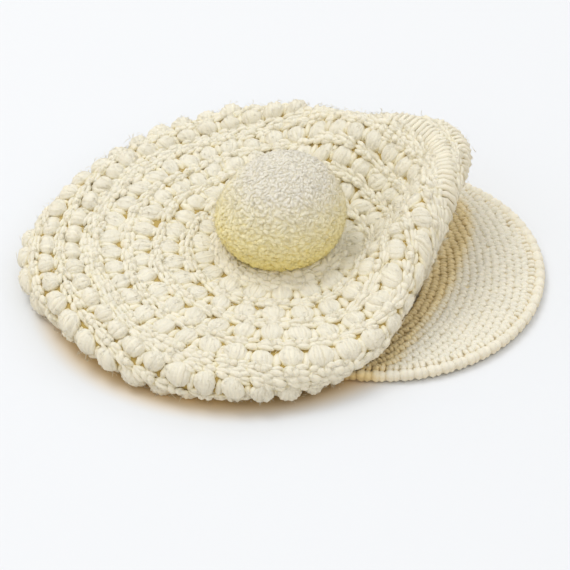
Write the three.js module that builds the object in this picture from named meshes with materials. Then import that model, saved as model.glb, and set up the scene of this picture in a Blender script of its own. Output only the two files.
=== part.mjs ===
// Peaked tam o' shanter in crocheted wool: a bobbled crown, a pompom, a headband and a flat peak.
// Millimetres, +Z up. The origin is the centre of the head opening, on the surface that the hat
// lies on. The peak points along +X.
import * as THREE from "three";
import { mergeVertices } from "three/addons/utils/BufferGeometryUtils.js";

// Clearance between pieces that touch on the real hat
const seam = 0.3;

// Headband
const headRadius = 82;
const bandWall = 5;
const bandHeight = 13;
const bandRounds = 3;
const bandRoundDepth = 0.8;

// Crown
const crownReach = 120;
const ridgeRise = 40;
const crownWall = 5;
const foldGap = 2;
const layerGap = 2;
const seatHeight = 17;
const crownShift = new THREE.Vector2(3, -8);

// Bobbles on the crown, in rounds at these distances along the cloth from the crown's centre
const bobblePitch = 15;
const bobbleHeight = 4;
const bobbleFlat = 5;
const topRounds = 6;
const roundShares = [0.38, 0.53, 0.67, 0.81, 0.98, 1.12, 1.27, 1.41];

// Peak and its edging
const peakRadius = 91;
const peakReach = 60;
const peakThickness = 6;
const edgeWidth = 7;
const edgeHeight = 8;
const edgePitch = 8;
const edgeScale = 1.2;

// Pompom
const pompomRadius = 35;
const pompomSquash = 0.94;
const lockHeight = 3.5;
const lockCount = 90;

const bandOuter = headRadius + bandWall;
const foldHalf = crownWall + foldGap;
const rimRest = foldHalf + bobbleHeight + 1;
const topRest = bandHeight + seam + 2 * crownWall + layerGap;
const fullTurn = 2 * Math.PI;
const lastCount = 72;

// The crown's form, a row for each 30 degrees from the peak round towards +Y.
// reach: the rim's distance from the origin, as a share of crownReach
// rimLift: the rim's height above its lowest place, as a share of ridgeRise
// overPeak: how much of the edging's height is added to the rim
// valleyAt, crestAt: places between the centre (0) and the rim (1)
// valleyLift, crestLift: heights there above the resting cloth, as shares of ridgeRise
const crownTable = [
  { reach: 0.855, rimLift: 1.13, overPeak: 0, valleyAt: 0.5, valleyLift: 0, crestAt: 0.84, crestLift: 0.99 },
  { reach: 1.01, rimLift: 1.06, overPeak: 0, valleyAt: 0.52, valleyLift: 0.02, crestAt: 0.86, crestLift: 0.93 },
  { reach: 0.83, rimLift: 0.84, overPeak: 0, valleyAt: 0.5, valleyLift: 0, crestAt: 0.82, crestLift: 0.56 },
  { reach: 0.98, rimLift: 0.43, overPeak: 0, valleyAt: 0.45, valleyLift: 0, crestAt: 0.78, crestLift: 0.18 },
  { reach: 1.055, rimLift: 0.16, overPeak: 0, valleyAt: 0.42, valleyLift: 0, crestAt: 0.72, crestLift: 0.03 },
  { reach: 1.06, rimLift: 0.17, overPeak: 0, valleyAt: 0.4, valleyLift: 0, crestAt: 0.66, crestLift: 0.11 },
  { reach: 1.2, rimLift: 0.02, overPeak: 0, valleyAt: 0.38, valleyLift: 0, crestAt: 0.62, crestLift: 0 },
  { reach: 1.125, rimLift: 0.07, overPeak: 0, valleyAt: 0.38, valleyLift: 0, crestAt: 0.62, crestLift: 0.05 },
  { reach: 1.055, rimLift: 0.01, overPeak: 0, valleyAt: 0.4, valleyLift: 0, crestAt: 0.66, crestLift: 0.01 },
  { reach: 0.985, rimLift: 0.03, overPeak: 0.2, valleyAt: 0.42, valleyLift: 0, crestAt: 0.7, crestLift: 0.03 },
  { reach: 0.905, rimLift: 0.02, overPeak: 0.8, valleyAt: 0.42, valleyLift: 0, crestAt: 0.72, crestLift: 0.01 },
  { reach: 0.79, rimLift: 0.45, overPeak: 0.8, valleyAt: 0.46, valleyLift: 0, crestAt: 0.78, crestLift: 0.46 },
];

// A piecewise cubic through four values, for the share f between the second and the third
function cubic(a, b, c, d, f) {
  const rise = c - a;
  const bend = 2 * a - 5 * b + 4 * c - d;
  const twist = 3 * b - a - 3 * c + d;
  return 0.5 * (2 * b + rise * f + bend * f * f + twist * f * f * f);
}

// The crown table's values at any angle, eased from row to row
function crownRow(angle) {
  const count = crownTable.length;
  const place = ((((angle / fullTurn) % 1) + 1) % 1) * count;
  const first = Math.floor(place);
  const rows = [-1, 0, 1, 2].map((step) => crownTable[(first + step + count) % count]);
  const value = (column) => cubic(...rows.map((row) => row[column]), place - first);
  return Object.fromEntries(Object.keys(crownTable[0]).map((column) => [column, value(column)]));
}

// The crown's outer face in one direction, from its centre over the rim and under to the headband
function crownSection(angle) {
  const row = crownRow(angle);
  const outward = new THREE.Vector2(Math.cos(angle), Math.sin(angle));
  const rim = outward.clone().multiplyScalar(row.reach * crownReach);
  const band = outward.clone().multiplyScalar(bandOuter);
  const fold = rim.clone().addScaledVector(outward, -0.75 * foldHalf);
  const under = rim.clone().lerp(band, 0.55);
  const rimZ = rimRest + row.rimLift * ridgeRise + row.overPeak * edgeHeight;
  const bandTop = bandHeight + seam;
  const at = (plan, z) => new THREE.Vector3(plan.x, plan.y, z);
  const valley = at(crownShift.clone().lerp(rim, row.valleyAt), topRest + row.valleyLift * ridgeRise);
  const opposite = at(crownShift.clone().lerp(rim, -row.valleyAt), valley.z);
  const crest = at(crownShift.clone().lerp(rim, row.crestAt), topRest + row.crestLift * ridgeRise);
  const underside = at(under, THREE.MathUtils.lerp(rimZ - foldHalf, bandTop, 0.4));
  const end = at(band, bandTop);
  const points = [
    opposite,
    at(crownShift, seatHeight),
    valley,
    crest,
    at(fold, rimZ + foldHalf),
    at(rim, rimZ),
    at(fold, rimZ - foldHalf),
    underside,
    end,
    end.clone().multiplyScalar(2).sub(underside),
  ];
  return new THREE.CatmullRomCurve3(points, false, "centripetal");
}

// One direction's outer face as points with their distance along the cloth
const sectionSteps = 8;
function crownTrack(angle) {
  const curve = crownSection(angle);
  const spans = curve.points.length - 1;
  const track = [];
  let run = 0;
  for (let i = sectionSteps; i <= (spans - 1) * sectionSteps; i++) {
    const point = curve.getPoint(i / (spans * sectionSteps));
    if (track.length) run += point.distanceTo(track[track.length - 1].point);
    track.push({ point, run });
  }
  return track;
}

const tracks = Array.from({ length: 360 }, (_, degree) => crownTrack((degree / 360) * fullTurn));
const longest = Math.max(...tracks.map((track) => track[track.length - 1].run));

function alongTrack(track, run) {
  let i = 1;
  while (i < track.length - 1 && track[i].run < run) i++;
  const a = track[i - 1];
  const b = track[i];
  const share = Math.min(1, Math.max(0, (run - a.run) / (b.run - a.run)));
  return a.point.clone().lerp(b.point, share);
}

// How far a round lies along the cloth in one direction. Where the cloth is short, the last rounds
// draw together under the hat.
const evenShare = 0.86;
function roundRun(track, nominal) {
  const length = track[track.length - 1].run;
  const even = evenShare * length;
  if (nominal <= even) return { run: nominal, drawn: 1 };
  const drawn = (length - even) / (longest - even);
  return { run: even + (nominal - even) * drawn, drawn };
}

function skinPoint(angle, nominal) {
  const degrees = ((((angle / fullTurn) % 1) + 1) % 1) * 360;
  const low = Math.floor(degrees) % 360;
  const sides = [tracks[low], tracks[(low + 1) % 360]];
  const [a, b] = sides.map((track) => alongTrack(track, roundRun(track, nominal).run));
  return a.lerp(b, degrees - Math.floor(degrees));
}

function skinNormal(angle, nominal) {
  const turn = 0.02;
  const step = 1.5;
  const inner = Math.max(0.5, nominal - step);
  const outer = Math.min(longest, Math.max(inner, nominal) + step);
  const across = skinPoint(angle + turn, nominal).sub(skinPoint(angle - turn, nominal));
  const along = skinPoint(angle, outer).sub(skinPoint(angle, inner));
  return nominal < 1 ? new THREE.Vector3(0, 0, 1) : along.cross(across).normalize();
}

// Triangles between two rings of points that run round the same centre
function stitchRings(triangles, a, b) {
  let i = 0;
  let j = 0;
  const angleOf = (ring, n) => (n + ring.phase) / ring.count;
  while (i < a.count || j < b.count) {
    const useA = j >= b.count || (i < a.count && angleOf(a, i + 1) <= angleOf(b, j + 1));
    const ai = a.first + (i % a.count);
    const bj = b.first + (j % b.count);
    if (useA) triangles.push(ai, bj, a.first + ((i + 1) % a.count));
    else triangles.push(ai, bj, b.first + ((j + 1) % b.count));
    if (useA) i++;
    else j++;
  }
}

function meshFrom(points, triangles) {
  const geometry = new THREE.BufferGeometry();
  const flat = points.flatMap((point) => [point.x, point.y, point.z]);
  geometry.setAttribute("position", new THREE.Float32BufferAttribute(flat, 3));
  geometry.setIndex(triangles);
  return geometry;
}

// Rings of the outer face: a groove before each bobble round, and two over its bobbles, or one
// where the round lies under the hat
function outerRings() {
  const rings = [{ nominal: 0.14 * crownReach, count: 16 }];
  const rounds = roundShares.map((share) => share * crownReach);
  rounds.forEach((nominal, k) => {
    const bobbles = Math.round((fullTurn * Math.min(nominal, crownReach)) / bobblePitch);
    const before = k ? (nominal + rounds[k - 1]) / 2 : nominal - 0.6 * bobblePitch;
    const halves = k < topRounds ? [-0.5, 0.5] : [0];
    rings.push({ nominal: before, count: 2 * bobbles });
    halves.forEach((half) => rings.push({ nominal: nominal + half * bobbleFlat, count: 4 * bobbles, bobbles }));
  });
  rings.push({ nominal: rounds[rounds.length - 1] + 0.6 * bobblePitch, count: lastCount });
  rings.push({ nominal: longest, count: lastCount });
  return rings.filter((ring) => ring.nominal <= longest);
}

// A bobble's height over the cloth at one point of its ring
function bobbleLift(ring, index, angle) {
  if (!ring.bobbles) return 0;
  const track = tracks[Math.floor((angle / fullTurn) * 360) % 360];
  const { drawn } = roundRun(track, ring.nominal);
  return bobbleHeight * [0, 0.75, 1, 0.75][index % 4] * drawn;
}

function crownGeometry() {
  const points = [skinPoint(0, 0)];
  const triangles = [];
  const addRing = (ring, place) => {
    const made = { first: points.length, count: ring.count, phase: 0 };
    for (let i = 0; i < ring.count; i++) points.push(place((i / ring.count) * fullTurn, i));
    return made;
  };

  // Outer face with its bobbles
  const outer = outerRings().map((ring) =>
    addRing(ring, (angle, i) => {
      const lift = bobbleLift(ring, i, angle);
      return skinPoint(angle, ring.nominal).addScaledVector(skinNormal(angle, ring.nominal), lift);
    }),
  );
  const capFan = (centre, ring, turned) => {
    for (let i = 0; i < ring.count; i++) {
      const here = ring.first + i;
      const next = ring.first + ((i + 1) % ring.count);
      triangles.push(centre, turned ? next : here, turned ? here : next);
    }
  };
  capFan(0, outer[0], false);
  for (let k = 1; k < outer.length; k++) stitchRings(triangles, outer[k - 1], outer[k]);

  // Inner face, which ends level on the headband
  const innerSteps = 14;
  const centre = points.length;
  points.push(skinPoint(0, 0).addScaledVector(new THREE.Vector3(0, 0, 1), -crownWall));
  const inner = [];
  for (let k = 1; k <= innerSteps; k++) {
    const nominal = (k / innerSteps) * longest;
    const turnIn = Math.max(0, (nominal / longest - evenShare) / (1 - evenShare));
    const count = Math.min(lastCount, 12 + 8 * k);
    inner.push(
      addRing({ count }, (angle) => {
        const inward = new THREE.Vector3(Math.cos(angle), Math.sin(angle), 0);
        const way = skinNormal(angle, nominal).lerp(inward, turnIn * turnIn).normalize();
        return skinPoint(angle, nominal).addScaledVector(way, -crownWall);
      }),
    );
  }
  capFan(centre, inner[0], true);
  for (let k = 1; k < inner.length; k++) stitchRings(triangles, inner[k], inner[k - 1]);
  stitchRings(triangles, outer[outer.length - 1], inner[inner.length - 1]);
  return meshFrom(points, triangles);
}

// Short ring of plain rounds about the head opening
function headbandGeometry() {
  const profile = [new THREE.Vector2(headRadius, 0), new THREE.Vector2(bandOuter, 0)];
  const roundHeight = bandHeight / bandRounds;
  for (let k = 0; k < bandRounds; k++) {
    if (k) profile.push(new THREE.Vector2(bandOuter - bandRoundDepth, k * roundHeight));
    profile.push(new THREE.Vector2(bandOuter, (k + 0.5) * roundHeight));
  }
  profile.push(new THREE.Vector2(bandOuter, bandHeight), new THREE.Vector2(headRadius, bandHeight));
  profile.push(new THREE.Vector2(headRadius, 0));
  return new THREE.LatheGeometry(profile, 48).rotateX(Math.PI / 2);
}

// A tube of one closed outline, placed at each step along an open run, with flat ends
function sweptGeometry(steps, outlineAt) {
  const points = [];
  const triangles = [];
  const sides = outlineAt(0).length;
  for (let k = 0; k <= steps; k++) points.push(...outlineAt(k / steps, k));
  for (let k = 0; k < steps; k++) {
    for (let i = 0; i < sides; i++) {
      const a = k * sides + i;
      const b = k * sides + ((i + 1) % sides);
      triangles.push(a, a + sides, b, b, a + sides, b + sides);
    }
  }
  for (let i = 1; i < sides - 1; i++) {
    const last = steps * sides;
    triangles.push(0, i, i + 1, last, last + i + 1, last + i);
  }
  return meshFrom(points, triangles);
}

// The peak's outer line seen from the origin, for a radius about the peak's own centre
function peakLine(angle, radius) {
  const side = peakReach * Math.sin(angle);
  return peakReach * Math.cos(angle) + Math.sqrt(radius * radius - side * side);
}

// Crescent of plain crochet between the headband and the edging
function peakGeometry() {
  const inner = bandOuter + seam;
  const tipWidth = 8;
  const reach = inner + tipWidth;
  const cosTip = (reach * reach + peakReach * peakReach - peakRadius * peakRadius) / (2 * reach * peakReach);
  const tip = Math.acos(cosTip);
  const bevel = 1.5;
  return sweptGeometry(40, (share) => {
    const angle = tip * (2 * share - 1);
    const outer = peakLine(angle, peakRadius);
    const at = (radius, z) => new THREE.Vector3(radius * Math.cos(angle), radius * Math.sin(angle), z);
    const rows = 3;
    const top = Array.from({ length: rows - 1 }, (_, i) => at(outer + ((inner - outer) * (i + 1)) / rows, peakThickness));
    const under = Array.from({ length: rows - 1 }, (_, i) => at(inner + ((outer - inner) * (i + 1)) / rows, 0));
    return [at(outer, bevel), at(outer, peakThickness - bevel), ...top, at(inner, peakThickness), at(inner, 0), ...under];
  });
}

// Fat stitches round the peak's edge, each one a swelling of the strip
function edgingGeometry() {
  const sides = 6;
  const shoulder = Math.sqrt(Math.cos(Math.PI / sides));
  const middle = peakRadius + seam + (shoulder * (edgeWidth + edgeScale)) / 2;
  const clear = bandOuter + seam + edgeWidth / 2 + edgeScale;
  const cosEnd = (clear * clear - middle * middle - peakReach * peakReach) / (2 * middle * peakReach);
  const end = Math.acos(Math.max(-1, cosEnd));
  const stitches = Math.round((2 * end * middle) / edgePitch);
  return sweptGeometry(stitches * 3, (share, step = 0) => {
    const angle = end * (2 * share - 1);
    const swell = step % 3 === 1 || step % 3 === 2 ? edgeScale : 0;
    const taper = THREE.MathUtils.smoothstep(Math.min(share, 1 - share), 0, 0.08);
    const high = edgeHeight * (0.6 + 0.4 * taper) - (swell ? 0 : edgeScale);
    return Array.from({ length: sides }, (_, i) => {
      const round = ((i + 0.5) / sides) * fullTurn;
      const wide = (edgeWidth / 2 + swell / 2) * Math.sign(Math.cos(round)) * Math.sqrt(Math.abs(Math.cos(round)));
      const tall = (high / 2) * (1 + Math.sign(Math.sin(round)) * Math.sqrt(Math.abs(Math.sin(round))));
      const radius = middle + wide;
      const lowest = (high / 2) * (1 - Math.sqrt(Math.sin((1.5 / sides) * fullTurn)));
      return new THREE.Vector3(peakReach + radius * Math.cos(angle), radius * Math.sin(angle), tall - lowest);
    });
  });
}

// Ball of locks that stand out from one core
function pompomGeometry() {
  const golden = Math.PI * (3 - Math.sqrt(5));
  const locks = Array.from({ length: lockCount }, (_, i) => {
    const z = 1 - (2 * i + 1) / lockCount;
    const across = Math.sqrt(1 - z * z);
    return new THREE.Vector3(across * Math.cos(golden * i), across * Math.sin(golden * i), z);
  });
  const lockSpread = 2 / Math.sqrt(lockCount);
  const ball = new THREE.IcosahedronGeometry(1, 6);
  ball.deleteAttribute("normal");
  ball.deleteAttribute("uv");
  const merged = mergeVertices(ball, 1e-4);
  const place = merged.getAttribute("position");
  const centreZ = seatHeight + seam + pompomRadius * pompomSquash + lockHeight;
  for (let i = 0; i < place.count; i++) {
    const way = new THREE.Vector3().fromBufferAttribute(place, i).normalize();
    const nearest = Math.min(...locks.map((lock) => lock.distanceTo(way)));
    const radius = pompomRadius + lockHeight * Math.max(0, 1 - (nearest / lockSpread) ** 2);
    place.setXYZ(
      i,
      crownShift.x + way.x * radius,
      crownShift.y + way.y * radius,
      centreZ + way.z * radius * pompomSquash,
    );
  }
  return merged;
}

function wool(name, geometry, color) {
  const material = new THREE.MeshStandardMaterial({ color, roughness: 0.95, metalness: 0 });
  const mesh = new THREE.Mesh(geometry, material);
  mesh.name = name;
  return mesh;
}

const hat = new THREE.Group();
hat.add(
  wool("crown", crownGeometry(), 0xeae2c7),
  wool("headband", headbandGeometry(), 0xe4dcc0),
  wool("peak", peakGeometry(), 0xd9d3bd),
  wool("peak_edging", edgingGeometry(), 0xdad4be),
  wool("pompom", pompomGeometry(), 0xe6dcbc),
);

export default hat;
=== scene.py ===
# Peaked tam o' shanter in crocheted wool, lying on a pale table: crown with rounds of bobbles,
# headband, flat peak with an edge of fat stitches, and a pompom. Lengths are in millimetres until
# a mesh is written, in metres.
import math
import bpy
import bmesh
import numpy as np
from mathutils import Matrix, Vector


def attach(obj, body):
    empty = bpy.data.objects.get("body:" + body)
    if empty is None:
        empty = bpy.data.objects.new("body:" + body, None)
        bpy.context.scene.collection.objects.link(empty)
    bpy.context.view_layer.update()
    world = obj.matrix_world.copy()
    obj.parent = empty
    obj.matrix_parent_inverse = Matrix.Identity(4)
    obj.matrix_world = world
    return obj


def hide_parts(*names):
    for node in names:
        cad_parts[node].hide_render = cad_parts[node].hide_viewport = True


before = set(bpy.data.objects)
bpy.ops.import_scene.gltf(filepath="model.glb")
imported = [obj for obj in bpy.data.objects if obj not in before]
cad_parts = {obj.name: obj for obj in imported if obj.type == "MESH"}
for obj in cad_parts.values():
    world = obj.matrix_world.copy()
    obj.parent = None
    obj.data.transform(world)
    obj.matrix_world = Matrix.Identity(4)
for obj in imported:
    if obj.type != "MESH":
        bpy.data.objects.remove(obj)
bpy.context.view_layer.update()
print("frame loaded")

scene = bpy.context.scene
fullTurn = 2 * math.pi
mm = 0.001


# the photograph's camera, the table and the light
view = {
    "azimuth": 1.5,
    "elevation": 40.0,
    "distance": 1.4,
    "aim": (0.0062, -0.0125, 0.0),
    "lens": 152.4,
    "sensor": 36,
    "nearest": 0.05,
    "farthest": 20,
}
studio = {
    "tableHalf": 6,
    "tableRoughness": 0.9,
    "floor": (0.79, 0.812, 0.838),
    # painted shadow under the hat: its colour, centre, reach and fade
    "paintedShadow": (0.72, 0.52, 0.26),
    "paintedShadowAt": (-0.021, -0.017, 0),
    "paintedShadowReach": (0.120, 0.112, 1),
    "paintedShadowFade": (0.84, 1.03),
    "zenith": (0.975, 0.99, 1.02),
    "horizon": (0.54, 0.37, 0.13),
    "skyFade": (0.0, 0.7),
    "skyStrength": 1.02,
    "backdrop": (0.93, 0.95, 0.98),
    "lampPower": 56.0,
    "lampSize": 2.0,
    "lampAt": (-1.7, 0.7, 4.0),
    "lampColour": (1.0, 0.99, 0.97),
}


# inputs: a number, a colour or another node's output under each input's name
def setInputs(tree, node, inputs):
    for key, value in inputs.items():
        if isinstance(value, bpy.types.NodeSocket):
            tree.links.new(value, node.inputs[key])
        else:
            node.inputs[key].default_value = value


def addNode(tree, kind, inputs=None, **settings):
    node = tree.nodes.new("ShaderNode" + kind)
    for key, value in settings.items():
        setattr(node, key, value)
    setInputs(tree, node, inputs or {})
    return node


def mixColours(tree, share, first, second):
    inputs = {"Factor": share, "A": first, "B": second}
    return addNode(tree, "Mix", inputs, data_type="RGBA").outputs["Result"]


# how far the value is between two limits, from 0 to 1
def shareBetween(tree, value, low, high, **settings):
    inputs = {"Value": value, "From Min": low, "From Max": high}
    return addNode(tree, "MapRange", inputs, **settings).outputs["Result"]


def setCamera():
    a, e = math.radians(view["azimuth"]), math.radians(view["elevation"])
    back = Vector((math.sin(a) * math.cos(e), -math.cos(a) * math.cos(e), math.sin(e)))
    data = bpy.data.cameras.new("camera")
    data.sensor_width = view["sensor"]
    data.lens = view["lens"]
    data.clip_start, data.clip_end = view["nearest"], view["farthest"]
    cam = bpy.data.objects.new("camera", data)
    cam.location = Vector(view["aim"]) + back * view["distance"]
    cam.rotation_euler = (math.pi / 2 - e, 0, a)
    scene.collection.objects.link(cam)
    scene.camera = cam


def setTable():
    bm = bmesh.new()
    bmesh.ops.create_grid(bm, x_segments=1, y_segments=1, size=studio["tableHalf"])
    mesh = bpy.data.meshes.new("table")
    bm.to_mesh(mesh)
    bm.free()
    table = bpy.data.objects.new("table", mesh)
    scene.collection.objects.link(table)
    mat = bpy.data.materials.new("table paper")
    mat.use_nodes = True
    tree = mat.node_tree
    # painted shadow: the paper is tinted warm brown in a soft patch under the hat, standing in for
    # the shade and warm light that cream wool throws there
    where = addNode(tree, "TexCoord").outputs["Object"]
    inputs = {"Vector": where, "Location": studio["paintedShadowAt"], "Scale": studio["paintedShadowReach"]}
    place = addNode(tree, "Mapping", inputs, vector_type="TEXTURE").outputs["Vector"]
    away = addNode(tree, "VectorMath", {0: place}, operation="LENGTH").outputs["Value"]
    fade = shareBetween(tree, away, *studio["paintedShadowFade"], interpolation_type="SMOOTHSTEP")
    colour = mixColours(tree, fade, (*studio["paintedShadow"], 1), (*studio["floor"], 1))
    shader = tree.nodes["Principled BSDF"]
    setInputs(tree, shader, {"Roughness": studio["tableRoughness"], "Base Color": colour})
    mesh.materials.append(mat)


def setLight():
    world = bpy.data.worlds.new("studio")
    world.use_nodes = True
    tree = world.node_tree
    # white overhead, dimmer and warmer towards the level of the table
    where = addNode(tree, "TexCoord").outputs["Generated"]
    level = addNode(tree, "SeparateXYZ", {"Vector": where}).outputs["Z"]
    fade = shareBetween(tree, level, *studio["skyFade"], interpolation_type="SMOOTHSTEP")
    sky = mixColours(tree, fade, (*studio["horizon"], 1), (*studio["zenith"], 1))
    # the camera sees a plain backdrop in its place
    seen = addNode(tree, "LightPath").outputs["Is Camera Ray"]
    colour = mixColours(tree, seen, sky, (*studio["backdrop"], 1))
    background = tree.nodes["Background"]
    setInputs(tree, background, {"Strength": studio["skyStrength"], "Color": colour})
    scene.world = world
    lamp = bpy.data.lights.new("soft lamp", "AREA")
    lamp.energy = studio["lampPower"]
    lamp.size = studio["lampSize"]
    lamp.color = studio["lampColour"]
    holder = bpy.data.objects.new("soft lamp", lamp)
    holder.location = studio["lampAt"]
    holder.rotation_euler = (-Vector(studio["lampAt"])).to_track_quat("-Z", "Y").to_euler()
    scene.collection.objects.link(holder)
    scene.view_settings.view_transform = "Standard"


setCamera()
setTable()
setLight()
print("camera, table and light set")


# wool: what all five materials share
woolShader = {
    "Roughness": 0.92,
    "Specular IOR Level": 0.2,
    "Sheen Weight": 0.4,
    "Sheen Roughness": 0.45,
    "Sheen Tint": (1.0, 0.95, 0.80, 1),
    "Subsurface Weight": 0.12,
    "Subsurface Radius": (1.0, 0.85, 0.6),
    "Subsurface Scale": 0.0012,
}
woolLook = {
    "pitShade": (0.52, 0.44, 0.3),
    "pitDepth": 3,
    "patchScale": 45,
    "patchShare": 0.5,
    "stitchShare": 0.5,
    "mottled": (0.1, 0.9),
    "shades": (0.93, 1.03),
    "detail": 4,
    "streakDetail": 3,
    "streakAcross": 0.22,
    "streakHeight": 0.8,
    "bumpStrength": 0.75,
}


# painted shade: the colour goes by the height over the cloth: the lit colour on top, a deep shaded
# colour low down, and darker yet in the pits
def wool(name, lit, deep, low, high, grain, fibre, bump):
    look = woolLook
    mat = bpy.data.materials.new(name)
    mat.use_nodes = True
    tree = mat.node_tree
    height = addNode(tree, "Attribute", attribute_name="lift").outputs["Fac"]
    rise = shareBetween(tree, height, low, high)
    cloth = mixColours(tree, rise, (*deep, 1), (*lit, 1))
    outOfPit = shareBetween(tree, height, low - look["pitDepth"], low)
    # painted shade in the pits: the deep colour darkened further
    pit = (*(a * b for a, b in zip(deep, look["pitShade"])), 1)
    colour = mixColours(tree, outOfPit, pit, cloth)

    # patches a few stitches wide, and a tone of its own for every stitch
    coords = addNode(tree, "TexCoord").outputs
    inputs = {"Vector": coords["Object"], "Scale": look["patchScale"], "Detail": look["detail"]}
    patches = addNode(tree, "TexNoise", inputs).outputs["Fac"]
    inputs = {0: patches, 1: look["patchShare"]}
    patchTone = addNode(tree, "Math", inputs, operation="MULTIPLY").outputs["Value"]
    tone = addNode(tree, "Attribute", attribute_name="tone").outputs["Fac"]
    inputs = {0: tone, 1: look["stitchShare"], 2: patchTone}
    blend = addNode(tree, "Math", inputs, operation="MULTIPLY_ADD").outputs["Value"]
    (fromMin, fromMax), (toMin, toMax) = look["mottled"], look["shades"]
    inputs = {"Value": blend, "From Min": fromMin, "From Max": fromMax}
    inputs.update({"To Min": toMin, "To Max": toMax})
    shade = addNode(tree, "MapRange", inputs).outputs["Result"]
    tint = addNode(tree, "VectorMath", {0: colour, "Scale": shade}, operation="SCALE")

    # fibres that run along each strand, over a fine felted grain
    inputs = {"Vector": coords["UV"], "Scale": (fibre, fibre * look["streakAcross"], 1)}
    along = addNode(tree, "Mapping", inputs).outputs["Vector"]
    inputs = {"Vector": along, "Scale": 1, "Detail": look["streakDetail"]}
    streaks = addNode(tree, "TexNoise", inputs).outputs["Fac"]
    inputs = {"Vector": coords["Object"], "Scale": grain, "Detail": look["detail"]}
    felt = addNode(tree, "TexNoise", inputs).outputs["Fac"]
    inputs = {0: streaks, 1: look["streakHeight"], 2: felt}
    relief = addNode(tree, "Math", inputs, operation="MULTIPLY_ADD").outputs["Value"]
    inputs = {"Height": relief, "Strength": look["bumpStrength"], "Distance": bump * mm}
    rough = addNode(tree, "Bump", inputs)
    inputs = {"Base Color": tint.outputs["Vector"], "Normal": rough.outputs["Normal"]}
    setInputs(tree, tree.nodes["Principled BSDF"], {**woolShader, **inputs})
    return mat


# lit colour, deep colour of the painted shade, low, high, grain, fibre and bump of each
wools = {
    "cream crown wool": ((0.9, 0.852, 0.7), (0.985, 0.845, 0.39), -3.0, 2.0, 1100, 9, 0.8),
    "cream band wool": ((0.895, 0.835, 0.68), (0.96, 0.76, 0.34), -3.0, 1.5, 1100, 9, 0.7),
    "finer peak wool": ((0.865, 0.825, 0.70), (0.87, 0.73, 0.43), -2.6, 0.8, 1200, 8, 0.4),
    "peak edging wool": ((0.87, 0.825, 0.69), (0.86, 0.69, 0.36), -2.8, 1.6, 1200, 8, 0.45),
    "cut pompom wool": ((0.83, 0.80, 0.71), (1.0, 0.875, 0.33), -8.0, 0.0, 900, 5, 0.4),
}
crownWool, bandWool, peakWool, edgeWool, pomWool = (wool(name, *wools[name]) for name in wools)
print("materials made")


# every stitch is built of short fat strands with fibres along them
archPower = 2.2
tableGap = 0.1
clothTone = 0.5
tiny = 1e-9


def unit(rows):
    return rows / np.maximum(np.linalg.norm(rows, axis=1, keepdims=True), tiny)


# a mesh of count equal strands, one after another, and the points of the first
def strandCopies(around, rings, count):
    bm = bmesh.new()
    bm.loops.layers.uv.new("UVMap")
    bmesh.ops.create_uvsphere(bm, u_segments=around, v_segments=rings, radius=1, calc_uvs=True)
    for face in bm.faces:
        face.smooth = True
    base = np.array([v.co[:] for v in bm.verts])
    single = bpy.data.meshes.new("strand")
    bm.to_mesh(single)
    bm.free()
    holder = bpy.data.objects.new("strand", single)
    scene.collection.objects.link(holder)
    array = holder.modifiers.new("copies", "ARRAY")
    array.use_relative_offset = False
    array.count = count
    shown = holder.evaluated_get(bpy.context.evaluated_depsgraph_get())
    mesh = bpy.data.meshes.new_from_object(shown)
    bpy.data.objects.remove(holder)
    bpy.data.meshes.remove(single)
    return mesh, base


# points of each strand: start, end and bulge are rows of three, radius one number a row
def strandShape(base, start, end, bulge, radius, blunt):
    t = base[:, 2]
    ring = np.sqrt(np.maximum(1 - t * t, tiny))
    swell = np.sqrt(np.maximum(1 - np.abs(t) ** blunt, 0)) / ring
    way = unit(end - start)
    side = unit(np.cross(way, bulge))
    up = np.cross(side, way)
    share = ((t + 1) / 2)[None, :, None]
    middle = start[:, None, :] * (1 - share) + end[:, None, :] * share
    middle = middle + bulge[:, None, :] * (1 - np.abs(t) ** archPower)[None, :, None]
    across = (base[:, 0] * swell)[None, :, None] * side[:, None, :]
    above = (base[:, 1] * swell)[None, :, None] * up[:, None, :]
    return middle + radius[:, None, None] * (across + above)


# the height over the cloth, which the wool's colour turns into painted shade, and the tone that
# the wool's colour goes by, for each vertex
def paint(mesh, lifts, tones):
    for label, values in (("lift", lifts), ("tone", tones)):
        attribute = mesh.attributes.new(label, "FLOAT", "POINT")
        attribute.data.foreach_set("value", np.asarray(values, np.float32).ravel())


# strands: dict of arrays start, end, bulge and radius, with what place needs to set them on the
# hat; shade: the painted shade that the place on the hat adds to their depth
def makePiece(
    name, node, slotName, material, around, rings, strands, place, blunt=2.0, seed=1, shade=None
):
    count = len(strands["radius"])
    mesh, base = strandCopies(around, rings, count)
    mesh.name = name
    form = (strands[key] for key in ("start", "end", "bulge", "radius"))
    local = strandShape(base, *form, blunt)
    points = place(strands, local)
    points[..., 2] = np.maximum(points[..., 2], tableGap)
    mesh.vertices.foreach_set("co", (points * mm).astype(np.float32).ravel())
    depth = strands["depth"](local) if "depth" in strands else local[:, :, 2]
    if shade is not None:
        depth = depth + shade(points[..., 0], points[..., 1])
    paint(mesh, depth, np.repeat(np.random.default_rng(seed).random(count), len(base)))
    mesh.materials.append(material)
    mesh.update()
    return finishPiece(mesh, name, node)


# the smooth mesh of a backing cloth or a core, from a bmesh that ends here
def clothMesh(bm, name, material, lifts):
    for f in bm.faces:
        f.smooth = True
    mesh = bpy.data.meshes.new(name)
    bm.to_mesh(mesh)
    bm.free()
    paint(mesh, lifts, np.full(len(mesh.vertices), clothTone))
    mesh.materials.append(material)
    return mesh


def faceUp(bm):
    bmesh.ops.recalc_face_normals(bm, faces=bm.faces)
    if sum(f.normal.z for f in bm.faces) < 0:
        bmesh.ops.reverse_faces(bm, faces=bm.faces)


def thicken(piece, thickness):
    wall = piece.modifiers.new("wall", "SOLIDIFY")
    wall.thickness = thickness * mm
    wall.offset = -1


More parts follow.
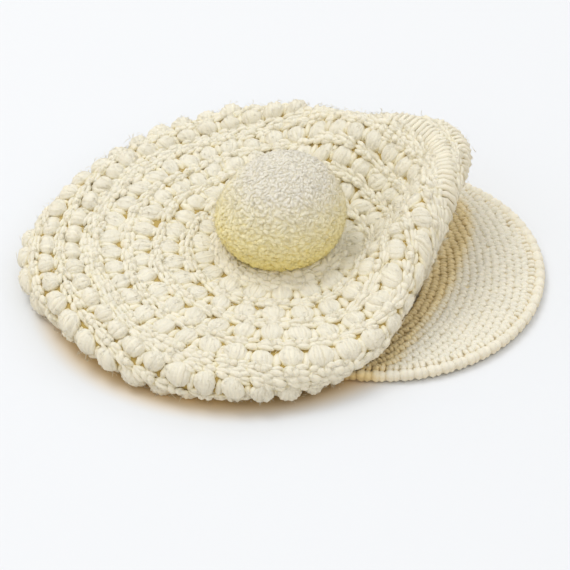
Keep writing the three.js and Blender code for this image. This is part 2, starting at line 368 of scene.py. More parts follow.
# loose fibres that spring from the upper side of the strands: most lie low, a few stand up
fuzz = {
    "count": 6500,
    "length": 3.2,
    "radius": 0.14,
    "along": 0.75,
    "swing": 1.2,
    "rootShare": 0.97,
    "flat": (1, 1, 0.45),
    "stand": (0.15, 0.9),
    "standOdds": (0.85, 0.15),
    "lengths": (0.5, 1.4),
    "curl": 0.22,
    "radii": (0.7, 1.2),
    "depth": 2.0,
}


def fuzzOf(strands, seed):
    rng = np.random.default_rng(seed)
    count = fuzz["count"]
    pick = rng.integers(0, len(strands["radius"]), count)
    start, end, bulge = (strands[k][pick] for k in ("start", "end", "bulge"))
    t = rng.uniform(-fuzz["along"], fuzz["along"], (count, 1))
    way = unit(end - start)
    side = unit(np.cross(way, bulge))
    up = np.cross(side, way)
    lean = rng.uniform(-fuzz["swing"], fuzz["swing"], (count, 1))
    out = side * np.sin(lean) + up * np.cos(lean)
    root = start * (1 - t) / 2 + end * (1 + t) / 2 + bulge * (1 - np.abs(t) ** archPower)
    root = root + out * fuzz["rootShare"] * strands["radius"][pick][:, None]
    loose = rng.normal(0, 1, (count, 3)) * np.array(fuzz["flat"])
    go = unit(loose + out * rng.choice(fuzz["stand"], (count, 1), p=fuzz["standOdds"]))
    long = fuzz["length"] * rng.uniform(*fuzz["lengths"], (count, 1))
    made = {key: strands[key][pick] for key in ("angle", "run")}
    made["start"] = root
    made["end"] = root + go * long
    # never quite straight, so that each has a side
    made["bulge"] = rng.normal(0, fuzz["curl"], (count, 3)) * long + 0.01
    made["radius"] = fuzz["radius"] * rng.uniform(*fuzz["radii"], count)
    # the fibres always take the lit colour of the painted shade
    made["depth"] = lambda local: np.full(local.shape[:2], fuzz["depth"])
    return made


def finishPiece(mesh, name, node):
    piece = bpy.data.objects.new(name, mesh)
    scene.collection.objects.link(piece)
    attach(piece, "root")
    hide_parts(node)
    triangles = sum(len(p.vertices) - 2 for p in mesh.polygons)
    print(name, triangles, "triangles")
    return piece


# the crown's form, from the same sizes as the solid
crown = {
    "bandOuter": 87,
    "bandHeight": 13,
    "seam": 0.3,
    "reach": 120,
    "ridgeRise": 40,
    "wall": 5,
    "foldHalf": 7,
    "foldIn": 0.75,
    "bobbleHeight": 4,
    "rimClear": 1,
    "underIn": 0.55,
    "underRim": 0.6,
    "underBand": 0.4,
    "layerGap": 2,
    "seatHeight": 17,
    "shift": (3, -8),
    "edgeHeight": 8,
    "evenShare": 0.86,
    # reach, rimLift, overPeak, valleyAt, valleyLift, crestAt, crestLift for every 30 degrees
    "form": (
        (0.855, 1.13, 0, 0.5, 0, 0.84, 0.99),
        (1.01, 1.06, 0, 0.52, 0.02, 0.86, 0.93),
        (0.83, 0.84, 0, 0.5, 0, 0.82, 0.56),
        (0.98, 0.43, 0, 0.45, 0, 0.78, 0.18),
        (1.055, 0.16, 0, 0.42, 0, 0.72, 0.03),
        (1.06, 0.17, 0, 0.4, 0, 0.66, 0.11),
        (1.2, 0.02, 0, 0.38, 0, 0.62, 0),
        (1.125, 0.07, 0, 0.38, 0, 0.62, 0.05),
        (1.055, 0.01, 0, 0.4, 0, 0.66, 0.01),
        (0.985, 0.03, 0.2, 0.42, 0, 0.7, 0.03),
        (0.905, 0.02, 0.8, 0.42, 0, 0.72, 0.01),
        (0.79, 0.45, 0.8, 0.46, 0, 0.78, 0.46),
    ),
}


def crownControls(angle):
    form = np.array(crown["form"], float)
    place = (angle / fullTurn % 1) * len(form)
    i = int(place)
    f = place - i
    a, b, c, d = (form[(i + k) % len(form)] for k in (-1, 0, 1, 2))
    square, cube = 2 * a - 5 * b + 4 * c - d, 3 * b - a - 3 * c + d
    row = 0.5 * (2 * b + (c - a) * f + square * f * f + cube * f**3)
    reach, rimLift, overPeak, valleyAt, valleyLift, crestAt, crestLift = row
    outward = np.array([math.cos(angle), math.sin(angle)])
    shift = np.array(crown["shift"], float)
    rim = outward * reach * crown["reach"]
    band = outward * crown["bandOuter"]
    half = crown["foldHalf"]
    fold = rim - crown["foldIn"] * half * outward
    under = rim + crown["underIn"] * (band - rim)
    rimRest = half + crown["bobbleHeight"] + crown["rimClear"]
    rimZ = rimRest + rimLift * crown["ridgeRise"] + overPeak * crown["edgeHeight"]
    bandTop = crown["bandHeight"] + crown["seam"]
    topRest = bandTop + 2 * crown["wall"] + crown["layerGap"]
    valleyZ = topRest + valleyLift * crown["ridgeRise"]
    crestZ = topRest + crestLift * crown["ridgeRise"]
    underside = (*under, crown["underRim"] * (rimZ - half) + crown["underBand"] * bandTop)
    end = (*band, bandTop)
    points = [
        (*(shift - valleyAt * (rim - shift)), valleyZ),
        (*shift, crown["seatHeight"]),
        (*(shift + valleyAt * (rim - shift)), valleyZ),
        (*(shift + crestAt * (rim - shift)), crestZ),
        (*fold, rimZ + half),
        (*rim, rimZ),
        (*fold, rimZ - half),
        underside,
        end,
        tuple(2 * np.array(end) - np.array(underside)),
    ]
    return np.array(points, float)


# which of these points is the rim
rimPoint = 5


# the centripetal curve between the second and the last but one point
def smoothCurve(points, steps=8):
    made = []
    for i in range(1, len(points) - 2):
        p0, p1, p2, p3 = points[i - 1 : i + 3]
        d0, d1, d2 = (np.sum((b - a) ** 2) ** 0.25 for a, b in ((p0, p1), (p1, p2), (p2, p3)))
        t1 = ((p1 - p0) / d0 - (p2 - p0) / (d0 + d1) + (p2 - p1) / d1) * d1
        t2 = ((p2 - p1) / d1 - (p3 - p1) / (d1 + d2) + (p3 - p2) / d2) * d1
        f = np.arange(steps)[:, None] / steps
        square, cube = -3 * p1 + 3 * p2 - 2 * t1 - t2, 2 * p1 - 2 * p2 + t1 + t2
        made.append(p1 + t1 * f + square * f**2 + cube * f**3)
    made.append(points[-2][None])
    return np.concatenate(made)


# the outer face at every degree and every millimetre along the cloth, with its normals
def clothGrid():
    lines, runs = [], []
    for degree in range(360):
        line = smoothCurve(crownControls(math.radians(degree)))
        run = np.concatenate([[0], np.cumsum(np.linalg.norm(np.diff(line, axis=0), axis=1))])
        lines.append(line)
        runs.append(run)
    longest = max(run[-1] for run in runs)
    nominal = np.arange(0, math.ceil(longest) + 1.0)
    face = np.zeros((360, len(nominal), 3))
    drawn = np.ones((360, len(nominal)))
    # evenly spaced over the top, and drawn together underneath where the cloth is shorter
    for d in range(360):
        even = crown["evenShare"] * runs[d][-1]
        squeeze = (runs[d][-1] - even) / (longest - even)
        place = np.where(nominal <= even, nominal, even + (nominal - even) * squeeze)
        drawn[d] = np.where(nominal <= even, 1, squeeze)
        for k in range(3):
            face[d, :, k] = np.interp(place, runs[d], lines[d][:, k])
    across = np.roll(face, -1, axis=0) - np.roll(face, 1, axis=0)
    along = np.gradient(face, axis=1)
    normal = np.cross(along, across)
    # straight up in the middle, where all directions meet
    normal[:, :2] = (0, 0, 1)
    normal /= np.maximum(np.linalg.norm(normal, axis=2, keepdims=True), tiny)
    return face, normal, drawn, longest


clothFace, clothNormal, clothDrawn, clothLength = clothGrid()


# the grid's value between its points
def sample(grid, angle, run):
    turn = (angle / fullTurn % 1) * 360
    low = np.floor(turn).astype(int)
    f = (turn - low)[..., None]
    run = np.clip(run, 0, grid.shape[1] - 1.001)
    near = np.floor(run).astype(int)
    g = (run - near)[..., None]
    a, b = low % 360, (low + 1) % 360
    here = grid[a, near] * (1 - f) + grid[b, near] * f
    further = grid[a, near + 1] * (1 - f) + grid[b, near + 1] * f
    return here * (1 - g) + further * g


# how the crocheted cloth lies on that form
cloth = {
    # height, number in a turn, drift along the cloth and start of each wave
    "waves": ((1.3, 3, 0.045, 0.0), (0.9, 7, -0.08, 1.0)),
    "waveFrom": 0.5,
    "waveGrows": 60,
    "waveEnds": 30,
    "collarRise": 7.0,
    "collarAt": 32,
    "collarReach": 7.5,
    "widthStep": 1.5,
    "leastWide": 4,
    "drawnLift": (0.35, 0.65),
    "hem": 0.5,
    "hemClear": 8,
    "ringStep": 3.0,
    "sectors": 180,
    "merge": 0.01,
    "backShadeLift": -6.4,
    # painted shade: the backing cloth between the stitches takes the darkest pit colour
    "backWall": 4.6,
}


# rounds of hand crochet never lie in perfect rings
def wander(angle, run):
    waves = cloth["waves"]
    swing = sum(size * np.sin(n * angle + drift * run + at) for size, n, drift, at in waves)
    grown = np.clip(run / cloth["waveGrows"] - cloth["waveFrom"], 0, 1)
    return run + swing * grown * np.clip((clothLength - run) / cloth["waveEnds"], 0, 1)


def clothPoint(angle, run, lift):
    run = wander(angle, run)
    way = sample(clothNormal, angle, run)
    # the collar stands up round the pompom's foot
    off = (run - cloth["collarAt"]) / cloth["collarReach"]
    lift = lift + cloth["collarRise"] * np.exp(-(off**2))
    return sample(clothFace, angle, run) + way * np.asarray(lift)[..., None]


# millimetres along a round for one radian
def clothWidth(angle, run):
    step = math.radians(cloth["widthStep"])
    gap = sample(clothFace, angle + step, run) - sample(clothFace, angle - step, run)
    return np.linalg.norm(gap, axis=-1) / (2 * step)


def onCrown(strands, local):
    angle, run = strands["angle"], strands["run"]
    wide = np.maximum(clothWidth(angle, run), cloth["leastWide"])
    angles = angle[:, None] + local[:, :, 0] / wide[:, None]
    runs = run[:, None] + local[:, :, 1]
    # lower where the cloth is drawn together
    least, more = cloth["drawnLift"]
    drawn = sample(clothDrawn[..., None], angle, run)[:, 0]
    lifts = local[:, :, 2] * (least + more * drawn)[:, None]
    return clothPoint(angles, np.clip(runs, 0, clothLength - cloth["hem"]), lifts)


# crown: backing cloth
def crownCloth():
    step = cloth["ringStep"]
    bm = bmesh.new()
    chain = [bm.verts.new((0.0, 0, 0))]
    edges = []
    for k in range(1, int(clothLength / step) + 1):
        chain.append(bm.verts.new((min(k * step, clothLength - cloth["hem"]), 0, 0)))
        edges.append(bm.edges.new(chain[-2:]))
    turn = {"axis": (0, 0, 1), "cent": (0, 0, 0), "angle": fullTurn, "steps": cloth["sectors"]}
    bmesh.ops.spin(bm, geom=[*chain, *edges], use_merge=True, **turn)
    bmesh.ops.remove_doubles(bm, verts=bm.verts, dist=cloth["merge"])
    faceUp(bm)
    flat = np.array([v.co[:] for v in bm.verts])
    angle, run = np.arctan2(flat[:, 1], flat[:, 0]), np.hypot(flat[:, 0], flat[:, 1])
    for v, p in zip(bm.verts, clothPoint(angle, run, np.zeros(len(run)))):
        v.co = p * mm
    mesh = clothMesh(bm, "crown_cloth", crownWool, np.full(len(run), cloth["backShadeLift"]))
    thicken(finishPiece(mesh, "crown_cloth", "crown"), cloth["backWall"])


# crown: bobbles in rounds, and plain stitches between them
bobbles = {
    "rounds": (46, 63, 80, 97, 118, 135, 152, 169),
    "pitch": 15,
    "strands": 7,
    "halfLength": 7.9,
    "rise": 2.0,
    "edgeRise": 4.6,
    "edgeShort": 0.84,
    "edgeFrom": 115,
    "strandRadius": 2.6,
    "fan": 62,
    "fanNoise": 0.08,
    "gap": 0.4,
    "leastWide": 2,
    "lean": 1.5,
    "sizes": (0.82, 1.12),
    "drift": 0.7,
    "lengths": (0.92, 1.05),
    "outerShare": 0.92,
    "foot": -0.9,
    "lowest": 0.2,
    "radii": (0.9, 1.08),
    "betweenRadius": 2.3,
    "betweenRadii": (0.9, 1.1),
    "closeAt": 7.4,
    "closeRadius": 2.0,
    "closeHeights": (0.9, 1.9),
    "postsFrom": -12,
    "postsTo": 78,
    "postRounds": (118, 135),
    "postPitch": 4.4,
    "postRadius": 2.1,
    "postRadii": (0.88, 1.1),
    "postBulge": 1.6,
    "postBulges": (0.8, 1.2),
    "postLean": 0.5,
}
plain = {
    "rounds": (21.5, 26, 30.5, 35, 39, 54.5, 71.5, 88.5, 105.4, 110.6, 126.5, 143.5, 160.5),
    "underPitch": 5.2,
    "underFrom": 7,
    "underEnd": 2,
    "pitch": 6.2,
    "wander": 0.8,
    "reach": 0.84,
    "outerLess": 0.1,
    "startNoise": 0.5,
    "stretch": (0.85, 1.15),
    "slant": (0.8, 1.15),
    "bulge": 1.3,
    "bulgeNoise": 0.4,
    "loopRadius": 1.8,
    "lateFrom": 120,
    "lateShare": 0.88,
}


# stitches in a round; past the rim their number stays as it is there
def stitchCount(run, pitch):
    return round(fullTurn * min(run, crown["reach"]) / pitch)


def stitchWidth(angle, run, count):
    return float(clothWidth(np.array([angle]), np.array([float(run)]))[0]) * fullTurn / count


def inPosts(angle, run):
    turned = (np.degrees(angle) + 180) % 360 - 180
    inside = (turned > bobbles["postsFrom"]) & (turned < bobbles["postsTo"])
    return (run in bobbles["postRounds"]) & inside


def noBobble(angle, run):
    return inPosts(angle, run) or run > clothLength - cloth["hemClear"]


def crownBobbles():
    rng = np.random.default_rng(7)
    rows = []
    number, fanned = bobbles["strands"], math.radians(bobbles["fan"])
    foot, lowest = bobbles["foot"], bobbles["lowest"]
    for run in bobbles["rounds"]:
        count = stitchCount(run, bobbles["pitch"])
        inner = run < bobbles["edgeFrom"]
        rise = bobbles["rise"] if inner else bobbles["edgeRise"]
        halfLength = bobbles["halfLength"] * (1 if inner else bobbles["edgeShort"])
        for i in range(count):
            angle = (i + 0.5) / count * fullTurn
            if noBobble(angle, run):
                continue
            lean, size = rng.normal(0, bobbles["lean"]), rng.uniform(*bobbles["sizes"])
            shift = rng.normal(0, bobbles["drift"])
            free = stitchWidth(angle, run, count) / 2 - bobbles["strandRadius"] - bobbles["gap"]
            sideways = max(free, bobbles["leastWide"]) * size
            for j in range(number):
                fan = fanned * (2 * j / (number - 1) - 1) + rng.normal(0, bobbles["fanNoise"])
                long = halfLength * rng.uniform(*bobbles["lengths"])
                up = rise * size * math.cos(fan) + lowest
                bulge = (sideways * math.sin(fan) / math.sin(fanned), 0, up)
                radius = bobbles["strandRadius"] * rng.uniform(*bobbles["radii"])
                end = (lean, long * bobbles["outerShare"], foot)
                rows.append((angle, run + shift, (-lean, -long, foot), end, bulge, radius))
    return strandRows(rows)


def strandRows(rows):
    keys = ("angle", "run", "start", "end", "bulge", "radius")
    return {key: np.array(column, float) for key, column in zip(keys, zip(*rows))}


# three leaning loops for every plain stitch
def plainRows(runs, rng):
    rows = []
    for run in runs:
        count = stitchCount(run, plain["pitch"])
        thin = plain["lateShare"] if run > plain["lateFrom"] else 1
        for i in range(count):
            angle = i / count * fullTurn
            width = stitchWidth(angle, run, count)
            drift = rng.normal(0, plain["wander"], 3)
            for side in (-1, 0, 1):
                share = plain["reach"] - plain["outerLess"] * abs(side)
                reach = share * width * rng.uniform(*plain["stretch"])
                near = side * 0.5 + drift[1] + rng.normal(0, plain["startNoise"])
                far = side * 3.0 * rng.uniform(*plain["slant"]) + drift[1]
                start = (-reach + drift[0], near, -0.7)
                end = (reach + drift[0], far, 0.1 + 0.6 * drift[2])
                radius = plain["loopRadius"] * rng.uniform(*plain["stretch"]) * thin
                bulge = (0, side * 0.7, plain["bulge"] + plain["bulgeNoise"] * rng.normal())
                rows.append((angle, run, start, end, bulge, radius))
    return rows


def crownRounds():
    rng = np.random.default_rng(11)
    rows = plainRows(plain["rounds"], rng)
    # a low stitch between neighbouring bobbles
    for run in bobbles["rounds"]:
        count = stitchCount(run, bobbles["pitch"])
        for i in range(count):
            angle = i / count * fullTurn
            if noBobble(angle, run):
                continue
            radius = bobbles["betweenRadius"] * rng.uniform(*bobbles["betweenRadii"])
            rows.append((angle, run, (0.5, -4.5, -1.4), (-0.5, 7, -0.6), (0.1, 0, 1.0), radius))
            # the loop that closes each bobble at its outer end
            middle, at = angle + 0.5 / count * fullTurn, run + bobbles["closeAt"]
            for side in (-1, 1):
                start = (side * 4.4, 0, 0.2)
                end = (side * -0.6, 2.0, rng.uniform(*bobbles["closeHeights"]))
                rows.append((middle, at, start, end, (0, -0.6, 1.3), bobbles["closeRadius"]))
    # ribs of long posts on the raised ridge
    for run in bobbles["postRounds"]:
        count = stitchCount(run, bobbles["postPitch"])
        for i in range(count):
            angle = (i + 0.5) / count * fullTurn
            if not inPosts(angle, run):
                continue
            lean = rng.normal(bobbles["postLean"], bobbles["postLean"])
            bulge = (0, 0, bobbles["postBulge"] * rng.uniform(*bobbles["postBulges"]))
            radius = bobbles["postRadius"] * rng.uniform(*bobbles["postRadii"])
            rows.append((angle, run, (-lean, -9, 0), (lean, 8.2, 0), bulge, radius))
    return strandRows(rows)


# on the hidden underside, from the last bobbles to the headband
def underRounds():
    first, last = bobbles["rounds"][-1] + plain["underFrom"], clothLength - plain["underEnd"]
    runs = [float(run) for run in np.arange(first, last, plain["underPitch"])]
    return strandRows(plainRows(runs, np.random.default_rng(12)))


crownCloth()
print("cloth length", round(clothLength, 1))
bobbleStrands, roundStrands = crownBobbles(), crownRounds()
inCrownWool = ("crown", "crown_wool", crownWool)
makePiece("crown_bobbles", *inCrownWool, 6, 7, bobbleStrands, onCrown, blunt=2.6, seed=3)
makePiece("crown_rounds", *inCrownWool, 6, 5, roundStrands, onCrown, blunt=2.2, seed=4)
makePiece("crown_fuzz", *inCrownWool, 3, 3, fuzzOf(bobbleStrands, 21), onCrown, seed=5)
makePiece("crown_round_fuzz", *inCrownWool, 3, 3, fuzzOf(roundStrands, 22), onCrown, seed=6)
makePiece("crown_under_rounds", *inCrownWool, 5, 4, underRounds(), onCrown, blunt=2.2, seed=7)
print("crown made")


# headband: three plain rounds
band = {
    "inner": 82,
    "outer": 87,
    "height": 13,
    "rounds": 3,
    "pitch": 5.4,
    "radius": 2.0,
    "radii": (0.93, 1.04),
    "lean": 1.7,
}
bandMiddle = (band["inner"] + band["outer"]) / 2


def onBand(strands, local):
    angle = strands["angle"][:, None] + local[:, :, 0] / bandMiddle
    radius = bandMiddle + local[:, :, 2]
    level = strands["run"][:, None] + local[:, :, 1]
    return np.stack([radius * np.cos(angle), radius * np.sin(angle), level], axis=-1)


def bandRounds():
    rng = np.random.default_rng(5)
    rows = []
    count = round(fullTurn * bandMiddle / band["pitch"])
    deep = band["height"] / band["rounds"]
    for k in range(band["rounds"]):
        level = (k + 0.5) * deep
        for i in range(count):
            angle = (i + 0.5 * (k % 2)) / count * fullTurn
            for side in (-1, 1):
                lean = band["lean"] * side
                start, end = (-2.2, -lean - 0.1, 0), (2.2, lean - 0.1, 0)
                radius = band["radius"] * rng.uniform(*band["radii"])
                rows.append((angle, level, start, end, (0, 0, 0.2 * side), radius))
    return strandRows(rows)


makePiece("headband_rounds", "headband", "band_wool", bandWool, 6, 5, bandRounds(), onBand, seed=6)
print("headband made")


# peak: dense plain rows over a flat crescent
peak = {
    "radius": 91,
    "reach": 60,
    "thick": 6,
    "tipWidth": 8,
    "row": 4.3,
    "rowsFrom": 2.3,
    "rowsTo": 64,
    "rowClear": 1.6,
    "tipClear": 0.02,
    "stitch": 5.0,
    "lean": 0.3,
    "loop": 1.75,
    "loops": (0.88, 1.1),
    "bulge": 0.8,
    "bulges": (0.6, 1.3),
    "sunk": 1.4,
    "clothGap": 0.4,
    "clothEdge": 0.5,
    "clothSunk": 1.6,
    "clothWall": 4.2,
    "clothLift": -0.6,
    "clothRings": 4,
    "clothSectors": 72,
}
peakInner = band["outer"] + crown["seam"]


def peakLine(angle, radius):
    side = peak["reach"] * np.sin(angle)
    return peak["reach"] * np.cos(angle) + np.sqrt(radius**2 - side**2)


def peakTip(tipWidth):
    reach = peakInner + tipWidth
    square = reach**2 + peak["reach"] ** 2 - peak["radius"] ** 2
    return math.acos(square / (2 * reach * peak["reach"]))


# painted shadow: the peak's wool is darkened brown beside the crown's edge, which hangs over it;
# apart is the distance outward from that edge, and well inside it, under the crown, the painted
# brown fades again
shadow = {"dark": 4.8, "full": 1.1, "reach": 13, "fadeFrom": 5, "fadeOver": 14, "inside": 0.15}
wholeDegrees = np.arange(361)
rimReach = [np.hypot(*crownControls(math.radians(d))[rimPoint][:2]) for d in wholeDegrees]


def crownShade(x, y):
    turned = np.degrees(np.arctan2(y, x)) % 360
    apart = np.hypot(x, y) - np.interp(turned, wholeDegrees, rimReach)
    near = np.clip(shadow["full"] - apart / shadow["reach"], 0, 1)
    kept = np.clip(1 + (apart + shadow["fadeFrom"]) / shadow["fadeOver"], shadow["inside"], 1)
    return -shadow["dark"] * near**2 * kept


# flat board of the peak, from a spun edge line, a little thinner than the stitches on it
def peakCloth():
    inner = peakInner + peak["clothGap"]
    tip = peakTip(peak["tipWidth"])
    rings = peak["clothRings"]
    bm = bmesh.new()
    chain = [bm.verts.new((1 + k / rings, 0, 0)) for k in range(rings + 1)]
    edges = [bm.edges.new((chain[k], chain[k + 1])) for k in range(rings)]
    turn = {"axis": (0, 0, 1), "cent": (0, 0, 0), "angle": 2 * tip, "steps": peak["clothSectors"]}
    bmesh.ops.spin(bm, geom=[*chain, *edges], **turn)
    faceUp(bm)
    for v in bm.verts:
        angle = math.atan2(v.co.y, v.co.x)
        share = math.hypot(v.co.x, v.co.y) - 1
        angle = (angle if angle >= -1e-6 else angle + fullTurn) - tip
        outer = float(peakLine(angle, peak["radius"] - peak["clothEdge"]))
        radius = inner + (outer - inner) * share
        level = peak["thick"] - peak["clothSunk"]
        v.co = Vector((radius * math.cos(angle), radius * math.sin(angle), level)) * mm
    spots = np.array([v.co[:2] for v in bm.verts]) / mm
    # the painted shadow beside the crown's edge darkens the peak cloth
    mesh = clothMesh(bm, "peak_cloth", peakWool, crownShade(*spots.T) + peak["clothLift"])
    thicken(finishPiece(mesh, "peak_cloth", "peak"), peak["clothWall"])


def onPeak(strands, local):
    run = strands["run"][:, None] + local[:, :, 1]
    angle = strands["angle"][:, None] + local[:, :, 0] / strands["run"][:, None]
    top = peak["thick"] - peak["sunk"] + local[:, :, 2]
    return np.stack([run * np.cos(angle), run * np.sin(angle), top], axis=-1)


def offPeak(angle, level):
    tip = peakTip(peak["tipWidth"]) - peak["tipClear"]
    return abs(angle) > tip or level > peakLine(angle, peak["radius"]) - peak["rowClear"]


def peakStitches():
    rng = np.random.default_rng(9)
    rows = []
    level = peakInner + peak["rowsFrom"]
    k = 0
    while level < peakInner + peak["rowsTo"]:
        count = round(fullTurn * level / peak["stitch"])
        for i in range(count):
            angle = (i + 0.5 * (k % 2)) / count * fullTurn
            angle = (angle + math.pi) % fullTurn - math.pi
            if offPeak(angle, level):
                continue
            lean, lag = rng.normal(0, peak["lean"]), rng.normal(0, peak["lean"])
            # two short legs that lean together
            for side in (-1, 1):
                start = (side * 0.25 + lean, -3.0 + lag, -0.9)
                end = (side * 2.1 + lean, 2.8 + lag, -0.2)
                bulge = (side * 0.2, 0, peak["bulge"] * rng.uniform(*peak["bulges"]))
                radius = peak["loop"] * rng.uniform(*peak["loops"])
                rows.append((angle, level, start, end, bulge, radius))
        level += peak["row"]
        k += 1
    return strandRows(rows)


peakCloth()
inPeakWool = ("peak", "peak_wool", peakWool)
# the painted shadow beside the crown's edge darkens these stitches
shaded = {"blunt": 2.4, "seed": 8, "shade": crownShade}
makePiece("peak_stitches", *inPeakWool, 6, 5, peakStitches(), onPeak, **shaded)
print("peak made")


# edging: fat stitches that wrap the peak's outer edge
edging = {
    "width": 7,
    "height": 8,
    "pitch": 8,
    "scale": 1.2,
    "strand": 3.15,
    "fatness": (0.95, 1.06),
    "secondShare": 0.95,
    "betweenRadius": 2.2,
    "footRadius": 1.7,
    "footRadii": (0.92, 1.08),
    "beneathRadius": 1.9,
    "endTaper": 0.16,
    "endHeight": (0.6, 0.4),
    "lowest": 0.03,
}


def edgingLine():
    shoulder = math.sqrt(math.cos(math.pi / 6))
    middle = peak["radius"] + crown["seam"] + shoulder * (edging["width"] + edging["scale"]) / 2
    clear = peakInner + edging["width"] / 2 + edging["scale"]
    cosEnd = (clear**2 - middle**2 - peak["reach"] ** 2) / (2 * middle * peak["reach"])
    return middle, math.acos(max(-1, cosEnd))


def onEdge(strands, local):
    middle, end = edgingLine()
    half = edging["height"] / 2
    angle = strands["angle"][:, None] + local[:, :, 0] / middle
    radius = middle + local[:, :, 1]
    # lower towards the two ends
    taper = np.clip((end - np.abs(strands["angle"])) / (edging["endTaper"] * end), 0, 1)[:, None]
    least, more = edging["endHeight"]
    rise = half * (least + more * taper) * np.maximum(1 + local[:, :, 2] / half, edging["lowest"])
    along, sideways = peak["reach"] + radius * np.cos(angle), radius * np.sin(angle)
    return np.stack([along, sideways, rise], axis=-1)


def edgeStitches():
    rng = np.random.default_rng(13)
    rows = []
    middle, end = edgingLine()
    count = round(2 * end * middle / edging["pitch"])
    between = edging["pitch"] / 2 / middle
    for i in range(count):
        angle = end * (2 * (i + 0.5) / count - 1)
        fat = edging["strand"] * rng.uniform(*edging["fatness"])
        # two fat strands side by side lean over the top and down the outer side
        rows.append((angle, 0, (-3.9, -4.7, 0.6), (-0.5, 0.9, -2.4), (0.1, 1.0, 1.4), fat))
        second = fat * edging["secondShare"]
        rows.append((angle, 0, (-0.7, -4.3, 0.4), (2.7, 0.6, -2.4), (0.2, 1.0, 1.2), second))
        form = ((0, -3.0, -1.2), (0, 0.5, -1.2), (0, 0, 0.4), edging["betweenRadius"])
        rows.append((angle + between, 0, *form))
        # their feet on the peak
        for u in (-1.7, 1.7):
            start, foot = (u * 1.1, -8.4, 0.6), (u * 0.9, -3.2, 1.0)
            radius = edging["footRadius"] * rng.uniform(*edging["footRadii"])
            rows.append((angle, 0, start, foot, (0, 0, 0.5), radius))
    # a strand beneath that holds them in one row
    form = ((-3.2, -1.4, -1.6), (3.2, -1.4, -1.6), (0, 0, 0.2), edging["beneathRadius"])
    for i in range(count * 2):
        rows.append((end * (2 * (i + 0.5) / (count * 2) - 1), 0, *form))
    return {**strandRows(rows), "depth": edgeDepth}


# painted shade: darker between the stitches on the inner side, and the lit cream on the outer side
edgeShade = {"from": 0.5, "over": 2, "level": 1.3, "dark": 1.8, "outerLeast": 0.8}


def edgeDepth(local):
    inner = np.clip(-(local[..., 1] + edgeShade["from"]) / edgeShade["over"], 0, 1)
    height = local[..., 2]
    holes = inner * (height - edgeShade["level"]) * edgeShade["dark"]
    return holes + (1 - inner) * np.maximum(height, edgeShade["outerLeast"])


inEdgeWool = ("peak_edging", "edging_wool", edgeWool)
# the painted shadow beside the crown's edge darkens these stitches
shaded = {"blunt": 3.0, "seed": 10, "shade": crownShade}
makePiece("edge_stitches", *inEdgeWool, 8, 6, edgeStitches(), onEdge, **shaded)
print("edging made")


# pompom: cut ends of yarn round a core
pom = {
    "radius": 35,
    "squash": 0.94,
    "lock": 3.5,
    "core": 37.15,
    "coreRise": 0.3,
    "coreDetail": 4,
    # narrower and lower above this height, and leaning a little to the front
    "drawFrom": -10,
    "taper": 0.3,
    "taperPower": 1.2,
    "lower": 0.06,
    "lean": 5.5,
    "tufts": 3300,
    "tuftLength": 4.8,
    "tuftLengths": (0.8, 1.15),
    "tuftRadius": 1.35,
    "tuftRadii": (0.85, 1.15),
    "tuftBulge": 0.7,
    "tuftDeep": 2.9,
    "tuftHigh": 1.3,
    "highNoise": 0.3,
    "placeNoise": 0.02,
    "wayNoise": 0.4,
    "waves": (0.5, 9, 14),
    "levelShare": 1.2,
    # painted shade: how much lighter for each millimetre out of the ball, up to the top and up
    # from its foot
    "outShade": 0.6,
    "topShade": 0.15,
    "topFrom": 26,
    "footShade": 0.5,
    "footTo": -21.5,
    "fibres": 6000,
    "fibreLength": (2.5, 6),
    "fibreShare": 0.7,
    "fibreOut": (0.0, 0.5),
    "fibreSunk": (0.3, 1.2),
    "fibreBulge": 0.35,
    "fibreCurl": 0.4,
    "fibreRadius": (0.08, 0.16),
}
pomFace = pom["radius"] + pom["lock"]
pomFoot = crown["seatHeight"] + crown["seam"]
pomCentre = np.array([*crown["shift"], pomFoot + pom["radius"] * pom["squash"] + pom["lock"]])


# short tufts that lie over one another
def pomTufts():
    rng = np.random.default_rng(17)
    count = pom["tufts"]
    i = np.arange(count)
    z = 1 - (2 * i + 1) / count
    turn = math.pi * (3 - math.sqrt(5)) * i
    flat = np.sqrt(1 - z * z)
    out = np.stack([flat * np.cos(turn), flat * np.sin(turn), z], axis=-1)
    out = unit(out + rng.normal(0, pom["placeNoise"], (count, 3)))
    # they lie sideways in wavy rows low down, and every way at the top
    level = np.stack([-out[:, 1], out[:, 0], np.zeros(count)], axis=-1)
    size, across, upward = pom["waves"]
    around = np.arctan2(out[:, 1], out[:, 0])
    wave = size * np.sin(across * around + upward * out[:, 2])[:, None]
    way = level * (pom["levelShare"] - out[:, 2:3]) + np.array([0, 0, 1.0]) * wave
    way = way + rng.normal(0, pom["wayNoise"], (count, 3))
    way = unit(way - out * np.sum(out * way, axis=1, keepdims=True))
    half = pom["tuftLength"] / 2 * rng.uniform(*pom["tuftLengths"], (count, 1))
    high = pomFace - pom["tuftHigh"] + rng.normal(0, pom["highNoise"], (count, 1))
    return {
        "start": out * (pomFace - pom["tuftDeep"]) - way * half,
        "end": out * high + way * half,
        "bulge": out * pom["tuftBulge"],
        "radius": pom["tuftRadius"] * rng.uniform(*pom["tuftRadii"], count),
        "depth": pomDepth,
    }
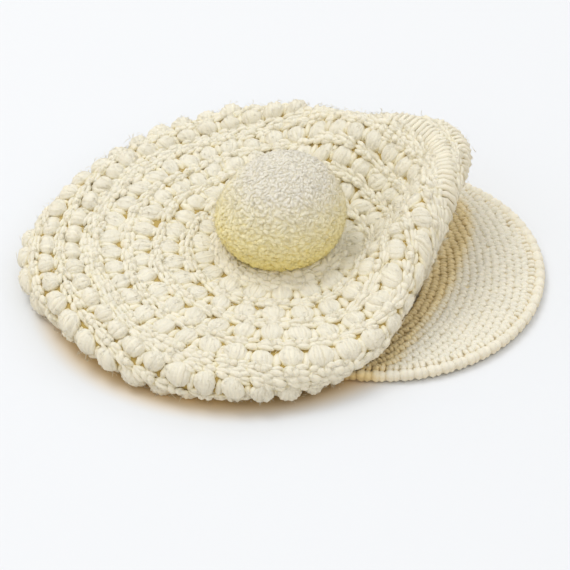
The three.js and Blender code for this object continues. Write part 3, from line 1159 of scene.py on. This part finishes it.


# painted shade: the wool is lit at the top and shaded low down, at its foot and between the tufts
def pomDepth(local):
    height = local[:, :, 2]
    out = pom["outShade"] * (np.linalg.norm(local, axis=2) - pomFace)
    top = pom["topShade"] * np.minimum(height - pom["topFrom"], 0)
    return out + top + pom["footShade"] * np.minimum(height - pom["footTo"], 0)


# fine cut fibres that lie over the tufts
def pomFuzz():
    rng = np.random.default_rng(23)
    count = pom["fibres"]
    out = unit(rng.normal(0, 1, (count, 3)))
    lay = unit(np.cross(out, rng.normal(0, 1, (count, 3))))
    go = lay + out * rng.uniform(*pom["fibreOut"], (count, 1))
    root = out * (pomFace - rng.uniform(*pom["fibreSunk"], (count, 1)))
    long = rng.uniform(*pom["fibreLength"], (count, 1))
    return {
        "start": root,
        "end": root + go * long * pom["fibreShare"],
        "bulge": out * pom["fibreBulge"] + rng.normal(0, pom["fibreCurl"], (count, 3)),
        "radius": rng.uniform(*pom["fibreRadius"], count),
        "depth": pomDepth,
    }


# the place on the hat of points about the ball's centre
def onPom(strands, local):
    low = pom["drawFrom"]
    high = np.maximum(local[..., 2:3] - low, 0) / (pomFace - low)
    drawn = local * np.array([1, 1, pom["squash"]])
    drawn[..., :2] *= 1 - pom["taper"] * high ** pom["taperPower"]
    drawn[..., 2:3] *= 1 - pom["lower"] * high**2
    drawn[..., 0:1] += pom["lean"] * high
    return drawn + pomCentre


def pomCore():
    bm = bmesh.new()
    bmesh.ops.create_icosphere(bm, subdivisions=pom["coreDetail"], radius=1)
    ball = np.array([v.co[:] for v in bm.verts]) * pom["core"] + np.array([0, 0, pom["coreRise"]])
    for v, place in zip(bm.verts, onPom(None, ball)):
        v.co = Vector(place * mm)
    mesh = clothMesh(bm, "pompom_core", pomWool, pomDepth(ball[None]))
    finishPiece(mesh, "pompom_core", "pompom")


pomCore()
inPomWool = ("pompom", "pompom_wool", pomWool)
makePiece("pompom_tufts", *inPomWool, 5, 6, pomTufts(), onPom, blunt=2.4, seed=12)
makePiece("pompom_fuzz", *inPomWool, 3, 3, pomFuzz(), onPom, seed=14)
print("pompom made")
